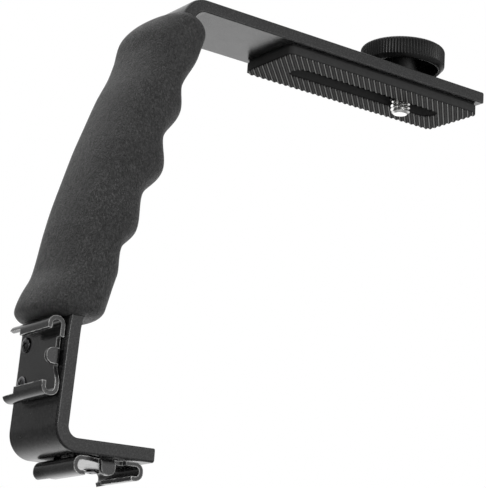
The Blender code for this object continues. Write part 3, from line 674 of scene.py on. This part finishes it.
# ---------------------------------------------------------------- shoe screws
def build_shoe_screw(node, which, side, turn):
    """Pan-head screw with a cross recess and a threaded shank."""
    base = SHOE_GAP + SHEET + 0.12
    prof = [(0.0, base + 0.64)]
    for k in range(1, 9):
        a = math.pi / 2 * k / 8
        prof.append((2.15 * math.sin(a) ** 0.92, base + 0.20 + 0.44 * math.cos(a) ** 1.0))
    prof += [(2.15, base + 0.05), (2.1, base), (1.22, base)]
    z = base - 0.25
    while z > -2.9:
        prof += [(1.22, z), (1.0, z - 0.2), (1.22, z - 0.4)]
        z -= 0.5
    prof += [(0.95, -3.25), (0.0, -3.3)]
    m = shoe_frame(which) @ Matrix.Translation((side * SHOE_SCREW_PITCH / 2000, SHOE_SCREW_Y / 1000, 0))
    ob = turned(node + "_detail", prof, 36)
    for k in range(2):
        rings = []
        for h, a, b in ((base + 0.08, 0.5, 0.2), (base + 0.45, 1.15, 0.26), (base + 1.1, 1.45, 0.32)):
            rings.append([(x * a / 1000, y * b / 1000, h / 1000) for x, y in ((-1, -1), (1, -1), (1, 1), (-1, 1))])
        tool = loft("cross_tool", rings)
        tool.data.transform(Matrix.Rotation(math.radians(turn + 90 * k), 4, "Z"))
        carve(ob, tool)
    ob.data.transform(m)
    finish_piece(ob, node + "_detail", MAT["black_screw"], "bracket", [node], smooth=32)


build_shoe_screw("side_shoe_screw_upper", "side", 1, 22)
build_shoe_screw("side_shoe_screw_lower", "side", -1, 61)
build_shoe_screw("end_shoe_screw_outer", "end", 1, 40)
build_shoe_screw("end_shoe_screw_inner", "end", -1, 8)


# ---------------------------------------------------------------- pad and adhesive


def rounded(x0, x1, y0, y1, r, steps=8):
    pts = []
    for cx, cy, a0 in ((x1 - r, y0 + r, -90), (x1 - r, y1 - r, 0), (x0 + r, y1 - r, 90), (x0 + r, y0 + r, 180)):
        for k in range(steps + 1):
            a = math.radians(a0 + 90 * k / steps)
            pts.append((cx + r * math.cos(a), cy + r * math.sin(a)))
    return pts


def pad_body():
    z0, z1 = DATUM[2], ARM_TOP - STRIP_T - 0.62      # the back beds into the adhesive
    rings = []
    for z, inset in ((z0, 0.0), (z1 - 0.25, 0.0), (z1 - 0.07, 0.07), (z1, 0.25)):
        rings.append([mm(x, y, z) for x, y in rounded(PAD_X0 + inset, PAD_X1 - inset, PAD_Y0 + inset, PAD_Y1 - inset, PAD_R - inset * 0.5)])
    return loft("pad_detail", rings)


def rib_tool():
    """One corrugated slab under the pad, whose upper side is the ribs' profile."""
    a = math.radians(RIB_ANGLE)
    along = Vector((math.sin(a), math.cos(a), 0))
    across = Vector((math.cos(a), -math.sin(a), 0))
    mid = mm((PAD_X0 + PAD_X1) / 2, 13.0, DATUM[2])
    reach = ((PAD_X1 - PAD_X0) * math.cos(a) + (PAD_Y1 - PAD_Y0) * math.sin(a)) / 2
    n = int(reach / RIB_PITCH) + 2
    # one groove: broad rounded crests and a narrower rounded valley
    half = [(RIB_PITCH / 2 * (1 - k / 10), RIB_DEPTH * (0.5 - 0.5 * math.cos(math.pi * k / 10)) ** 1.35 + 0.003) for k in range(1, 11)]
    shape = [(-q, h) for q, h in half] + half[-2::-1]
    top = [(-n * RIB_PITCH - 0.9, -0.001)]
    for k in range(-n, n + 1):
        top += [(k * RIB_PITCH + q, h) for q, h in shape]
    top.append((n * RIB_PITCH + 0.9, -0.001))
    loop = top + [(top[-1][0], -3.0), (top[0][0], -3.0)]
    ends = []
    for s in (-1, 1):
        ends.append([mid + along * (s * 0.045) + across * (q / 1000) + Vector((0, 0, h / 1000)) for q, h in loop])
    return loft("rib_tool", ends)


pad = pad_body()
carve(pad, rib_tool())
carve(pad, slot_tool(PAD_SLOT_W, DATUM[2] - 0.5, DATUM[2] + PAD_T + 1.0, 0.0001, "slot_tool", PAD_SLOT_X0, PAD_SLOT_X1))
finish_piece(pad, "pad_detail", MAT["pad"], "bracket", ["camera_pad"], smooth=38, weighted=False)

glue_rings = []
for z in (ARM_TOP - STRIP_T - 0.60, ARM_TOP - STRIP_T - 0.02):
    glue_rings.append([mm(x, y, z) for x, y in rounded(PAD_X0 + 0.35, PAD_X1 - 0.35, PAD_Y0 + 0.35, PAD_Y1 - 0.35, PAD_R)])
glue = loft("adhesive_detail", glue_rings)
carve(glue, slot_tool(PAD_SLOT_W + 1.4, 128.0, 131.0, 0.0001, "slot_tool", PAD_SLOT_X0, PAD_SLOT_X1))
finish_piece(glue, "adhesive_detail", MAT["glue"], "bracket", ["pad_adhesive"], smooth=35)


# ---------------------------------------------------------------- camera screw
SCREW_X, MAJOR, MINOR, PITCH, SCREW_OUT = 122.7, 6.30, 4.86, 1.27, 2.95


def build_screw():
    """1/4 inch, 20 threads per inch: a real helix with flat crests, a chamfered
    start, and the plain neck that carries the knob."""
    cols = 96
    low, shoulder, neck_top = -SCREW_OUT, 1.45, 15.95
    heights = []
    z = low
    while z < shoulder - 1e-9:
        heights.append(z)
        z += PITCH / 18
    heights.append(shoulder)

    def thread(z, a):
        ph = (z / PITCH - a / math.tau) % 1.0
        d = abs(ph - 0.5) * 2                      # 0 at the crest, 1 in the root
        f = min(1.0, max(0.0, (d - 0.10) / 0.66))
        f = f + 0.10 * math.sin(math.pi * f)       # the roots are rounded
        r = MAJOR / 2 - f * (MAJOR - MINOR) / 2
        start = MINOR / 2 - 0.30 + (z - low) * 1.25   # chamfered start
        end = MINOR / 2 - 0.05 + (shoulder - z) * 1.6  # runs out under the shoulder
        return max(MINOR / 2 - 0.30, min(r, start, end))

    rings = []
    for r, z in ((0.9, low), (MINOR / 2 - 0.55, low)):
        rings.append([Vector((r * math.cos(math.tau * k / cols) / 1000, r * math.sin(math.tau * k / cols) / 1000, z / 1000)) for k in range(cols)])
    for z in heights:
        rings.append([Vector((thread(z, math.tau * k / cols) * math.cos(math.tau * k / cols) / 1000,
                              thread(z, math.tau * k / cols) * math.sin(math.tau * k / cols) / 1000, z / 1000)) for k in range(cols)])
    for r, z in ((2.5, shoulder + 0.01), (2.5, neck_top - 0.4), (2.1, neck_top)):
        rings.append([Vector((r * math.cos(math.tau * k / cols) / 1000, r * math.sin(math.tau * k / cols) / 1000, z / 1000)) for k in range(cols)])
    ob = loft("screw_detail", rings)
    finish_piece(ob, "screw_detail", MAT["screw"], "screw_and_knob", ["camera_screw"], smooth=38)


build_screw()

# retaining ring and washer, with turned edges
ring_prof = [(2.72, 2.08), (2.80, 2.25), (3.34, 2.25), (3.42, 2.08), (3.42, 1.82), (3.34, 1.65), (2.80, 1.65), (2.72, 1.82), (2.72, 2.08)]
ring = turned("ring_detail", ring_prof, 64)
bpy.ops.mesh.primitive_cube_add(size=1.0, location=(-0.0032, 0, 0.00195))
gap_tool = bpy.context.active_object
gap_tool.scale = (0.002, 0.0012, 0.002)
bpy.ops.object.transform_apply(location=False, rotation=False, scale=True)
carve(ring, gap_tool)
finish_piece(ring, "ring_detail", MAT["ring"], "ring_carriage", ["retaining_ring"], smooth=35)

wz = ARM_TOP + 0.2 - DATUM[2]
washer = turned("washer_detail", [(2.9, wz + 0.9), (3.0, wz + 1.0), (6.75, wz + 1.0), (6.93, wz + 0.93), (7.0, wz + 0.75),
                                  (7.0, wz + 0.25), (6.93, wz + 0.07), (6.75, wz), (3.0, wz), (2.9, wz + 0.1), (2.9, wz + 0.9)], 96)
finish_piece(washer, "washer_detail", MAT["washer"], "washer_carriage", ["knob_washer"], smooth=35)


# ---------------------------------------------------------------- knob
KNOB_R, KNOB_RIM_Z, KNOB_TOP_Z, HUB_R, FLUTES = 13.75, 12.15, 19.25, 5.0, 84


def build_knob():
    """Hollow moulded knob: fluted skirt, domed top edge, chamfered rim, thin wall
    round a deep well, and a hub that stands down to the washer."""
    per = 8
    cols = FLUTES * per

    def flute(k, depth):
        f = (k % per) / per
        return depth * (0.5 - 0.5 * math.cos(math.tau * f)) ** 1.3

    def ring_at(r, z, depth):
        return [Vector(((r - flute(k, depth)) * math.cos(math.tau * k / cols) / 1000,
                        (r - flute(k, depth)) * math.sin(math.tau * k / cols) / 1000, z / 1000)) for k in range(cols)]

    zt, zr = KNOB_TOP_Z, KNOB_RIM_Z
    hub_low = ARM_TOP + 0.2 + 1.0 + 0.2 - DATUM[2]
    rows = [(2.8, hub_low + 0.15, 0), (3.0, hub_low, 0), (HUB_R - 0.4, hub_low, 0), (HUB_R - 0.1, hub_low + 0.12, 0), (HUB_R, hub_low + 0.4, 0),
            (HUB_R, zt - 2.4, 0), (HUB_R + 0.5, zt - 1.95, 0), (KNOB_R - 3.2, zt - 1.9, 0), (KNOB_R - 2.5, zt - 2.3, 0),
            (KNOB_R - 2.1, zr + 0.5, 0), (KNOB_R - 1.95, zr + 0.08, 0), (KNOB_R - 1.75, zr, 0), (KNOB_R - 1.35, zr, 0), (KNOB_R - 1.15, zr + 0.1, 0),
            (KNOB_R - 0.55, zr + 0.8, 0.0), (KNOB_R - 0.36, zr + 1.05, 0.0), (KNOB_R - 0.12, zr + 1.25, 0.16), (KNOB_R, zr + 1.5, 0.34),
            (KNOB_R, zt - 1.2, 0.34), (KNOB_R - 0.05, zt - 0.85, 0.30), (KNOB_R - 0.3, zt - 0.45, 0.12), (KNOB_R - 0.75, zt - 0.18, 0.0),
            (KNOB_R - 1.6, zt - 0.03, 0), (KNOB_R - 3.0, zt, 0), (7.0, zt - 0.12, 0), (3.0, zt - 0.15, 0), (0.6, zt - 0.15, 0)]
    rings = [ring_at(*row) for row in rows]
    # the bore above the hub's mouth
    rings = [ring_at(0.6, 16.25, 0), ring_at(2.8, 16.25, 0)] + rings
    return loft("knob_detail", rings)


knob = build_knob()
finish_piece(knob, "knob_detail", MAT["knob"], "screw_and_knob", ["thumb_knob"], smooth=50)


# ---------------------------------------------------------------- grip
GRIP_B, GRIP_LOW, GRIP_HIGH, GRIP_DOME = 15.4, 0.8, 97.8, 3.3
GRIP_PALM = ((0.8, 7.6), (4.0, 9.3), (8.0, 9.2), (14.0, 7.8), (26.0, 9.4), (42.0, 10.1),
             (58.0, 9.8), (69.0, 9.1), (77.0, 8.0), (83.0, 7.9), (90.0, 8.5), (97.8, 4.8))
GRIP_FINGERS = ((0.8, 10.9), (16.0, 10.1), (24.8, 8.0), (32.2, 10.9), (41.9, 8.4), (52.0, 12.3),
                (60.8, 8.3), (70.4, 11.0), (77.6, 8.2), (89.2, 10.3), (97.8, 10.3))


def smooth(t):
    t = min(1.0, max(0.0, t))
    return t * t * (3 - 2 * t)


def station(table, s):
    i = 0
    while i < len(table) - 2 and table[i + 1][0] < s:
        i += 1
    return i, min(1.0, max(0.0, (s - table[i][0]) / (table[i + 1][0] - table[i][0])))


def palm(s):
    i, u = station(GRIP_PALM, s)

    def slope(k):
        a, b = GRIP_PALM[max(k - 1, 0)], GRIP_PALM[min(k + 1, len(GRIP_PALM) - 1)]
        return (b[1] - a[1]) / (b[0] - a[0])

    (s0, h0), (s1, h1) = GRIP_PALM[i], GRIP_PALM[i + 1]
    d = s1 - s0
    return ((2 * u ** 3 - 3 * u ** 2 + 1) * h0 + (u ** 3 - 2 * u ** 2 + u) * d * slope(i)
            + (3 * u ** 2 - 2 * u ** 3) * h1 + (u ** 3 - u ** 2) * d * slope(i + 1))


def fingers(s):
    i, u = station(GRIP_FINGERS, s)
    return GRIP_FINGERS[i][1] + (GRIP_FINGERS[i + 1][1] - GRIP_FINGERS[i][1]) * smooth(u)


def build_grip():
    n = 120
    low, high, dome = GRIP_LOW, GRIP_HIGH, GRIP_DOME
    pts, _ = strip_path()
    a0 = math.radians(HANDLE_LEAN)
    steps = 9
    rows = [(low + dome * (1 - math.cos(math.pi / 2 * k / steps)), dome * (1 - math.sin(math.pi / 2 * k / steps)))
            for k in range(steps + 1)]
    count = 190
    rows += [(low + dome + (high - low - 2 * dome) * k / count, 0.0) for k in range(1, count)]
    rows += [(high - dome * (1 - math.cos(math.pi / 2 * k / steps)), dome * (1 - math.sin(math.pi / 2 * k / steps)))
             for k in range(steps, -1, -1)]
    rings = []
    for s, shrink in rows:
        a = a0 + math.radians(-18.0 * (1 - smooth((s - low) / 25.0)))
        ux, uz = math.cos(a), -math.sin(a)
        x, z = pts[2][0] + s * math.sin(a0), pts[2][1] + s * math.cos(a0)
        outer, inner = palm(s), fingers(s)
        across = GRIP_B + 0.12 * (inner - 9.6)
        ring = []
        for k in range(n):
            t = math.tau * k / n
            c, q = math.cos(t), math.sin(t)
            e = 2.0 / 2.35
            cc = math.copysign(abs(c) ** e, c)
            qq = math.copysign(abs(q) ** e, q)
            h = (inner if c > 0 else outer) - shrink
            ring.append(mm(x + ux * h * cc, 13.0 + (across - shrink) * qq, z + uz * h * cc))
        rings.append(ring)
    ob = loft("grip_detail", rings)
    # the strip passes through with a fine clearance
    core = []
    line = centre_line()
    for i, (p, d) in enumerate(line):
        e = -3.0 if i == 0 else (3.0 if i == len(line) - 1 else 0.0)
        nx, nz = -d[1], d[0]
        ht, hw = STRIP_T / 2 + 0.12, STRIP_W / 2 + 0.12
        x, z = p[0] + d[0] * e, p[1] + d[1] * e
        core.append([mm(x + nx * w, 13.0 + y, z + nz * w) for w, y in ((-ht, -hw), (ht, -hw), (ht, hw), (-ht, hw))])
    carve(ob, loft("grip_core", core))
    finish_piece(ob, "grip_detail", MAT["grip"], "bracket", ["grip_sleeve"], smooth=50)


build_grip()


# ---------------------------------------------------------------- studio
floor_mat = bpy.data.materials.new("studio_floor")
floor_mat.use_nodes = True
fb = floor_mat.node_tree.nodes["Principled BSDF"]
fb.inputs["Base Color"].default_value = (0.86, 0.86, 0.86, 1)
fb.inputs["Roughness"].default_value = 0.9
fb.inputs["Specular IOR Level"].default_value = 0.2
bpy.ops.mesh.primitive_plane_add(size=12.0, location=(0, 0, -0.30))
floor = bpy.context.active_object
floor.name = "studio_floor"
floor.data.materials.append(floor_mat)

world = bpy.data.worlds.new("studio_white")
scene.world = world
world.use_nodes = True
wt = world.node_tree
bg = wt.nodes["Background"]
scene.view_settings.view_transform = "Standard"
scene.view_settings.look = "None"


def studio(walls, panels, seen):
    """A dim room with soft panels, each (direction, tightness, brightness); a black
    card takes light away. What the camera sees of the room itself is plain white."""
    coord = wt.nodes.new("ShaderNodeTexCoord").outputs["Generated"]

    def math_node(op, a, b=None):
        n = wt.nodes.new("ShaderNodeMath")
        n.operation = op
        for i, v in enumerate((a, b)):
            if isinstance(v, (int, float)):
                n.inputs[i].default_value = v
            elif v is not None:
                wt.links.new(v, n.inputs[i])
        return n.outputs[0]

    total = walls
    for direction, tight, bright in panels:
        dot = wt.nodes.new("ShaderNodeVectorMath")
        dot.operation = "DOT_PRODUCT"
        dot.inputs[1].default_value = Vector(direction).normalized()
        wt.links.new(coord, dot.inputs[0])
        glow = math_node("EXPONENT", math_node("MULTIPLY", math_node("SUBTRACT", dot.outputs["Value"], 1.0), tight))
        total = math_node("ADD", total, math_node("MULTIPLY", glow, bright))
    path = wt.nodes.new("ShaderNodeLightPath")
    pick = wt.nodes.new("ShaderNodeMix")
    pick.data_type = "FLOAT"
    wt.links.new(path.outputs["Is Camera Ray"], pick.inputs["Factor"])
    floats = [i for i in pick.inputs if i.type == "VALUE" and i.name in ("A", "B")]
    wt.links.new(total, floats[0])
    floats[1].default_value = seen
    wt.links.new([o for o in pick.outputs if o.type == "VALUE"][0], bg.inputs["Strength"])
    bg.inputs["Color"].default_value = (1.0, 1.0, 1.0, 1)


floor.visible_glossy = False
studio(0.18, [((0.22, -0.98, 0.02), 5.0, 1.28),
              ((-0.26, 0.24, 0.94), 5.0, 1.58),
              ((0.56, 0.61, -0.56), 14.0, 1.22),
              ((0.56, 0.61, -0.56), 5.0, 0.25),
              ((-0.57, -0.10, 0.81), 5.0, 0.25),
              ((0.45, 0.86, 0.22), 6.0, 0.80),
              ((0.08, 0.83, -0.55), 20.0, 0.85),
              ((0.16, 0.23, -0.96), 30.0, 2.60),
              ((-0.80, 0.56, 0.15), 7.0, -0.22),
              ((-0.14, -0.97, 0.23), 160.0, 10.0)], 1.0)


# ---------------------------------------------------------------- camera
cam_data = bpy.data.cameras.new("camera")
cam = bpy.data.objects.new("camera", cam_data)
scene.collection.objects.link(cam)
scene.camera = cam
cam_data.sensor_width = 36.0
cam_data.lens = 116.96
cam_data.clip_start = 0.01
cam_data.clip_end = 50.0
right = Vector((0.8070034, -0.58705483, 0.064126))
down = Vector((0.18834565, 0.15294245, -0.97012088))
ahead = Vector((0.55970656, 0.7949687, 0.2339943))
m = Matrix.Identity(4)
place = mm(-198.38, -359.56, -41.11)
for i in range(3):
    m[i][0], m[i][1], m[i][2], m[i][3] = right[i], -down[i], -ahead[i], place[i]
cam.matrix_world = m
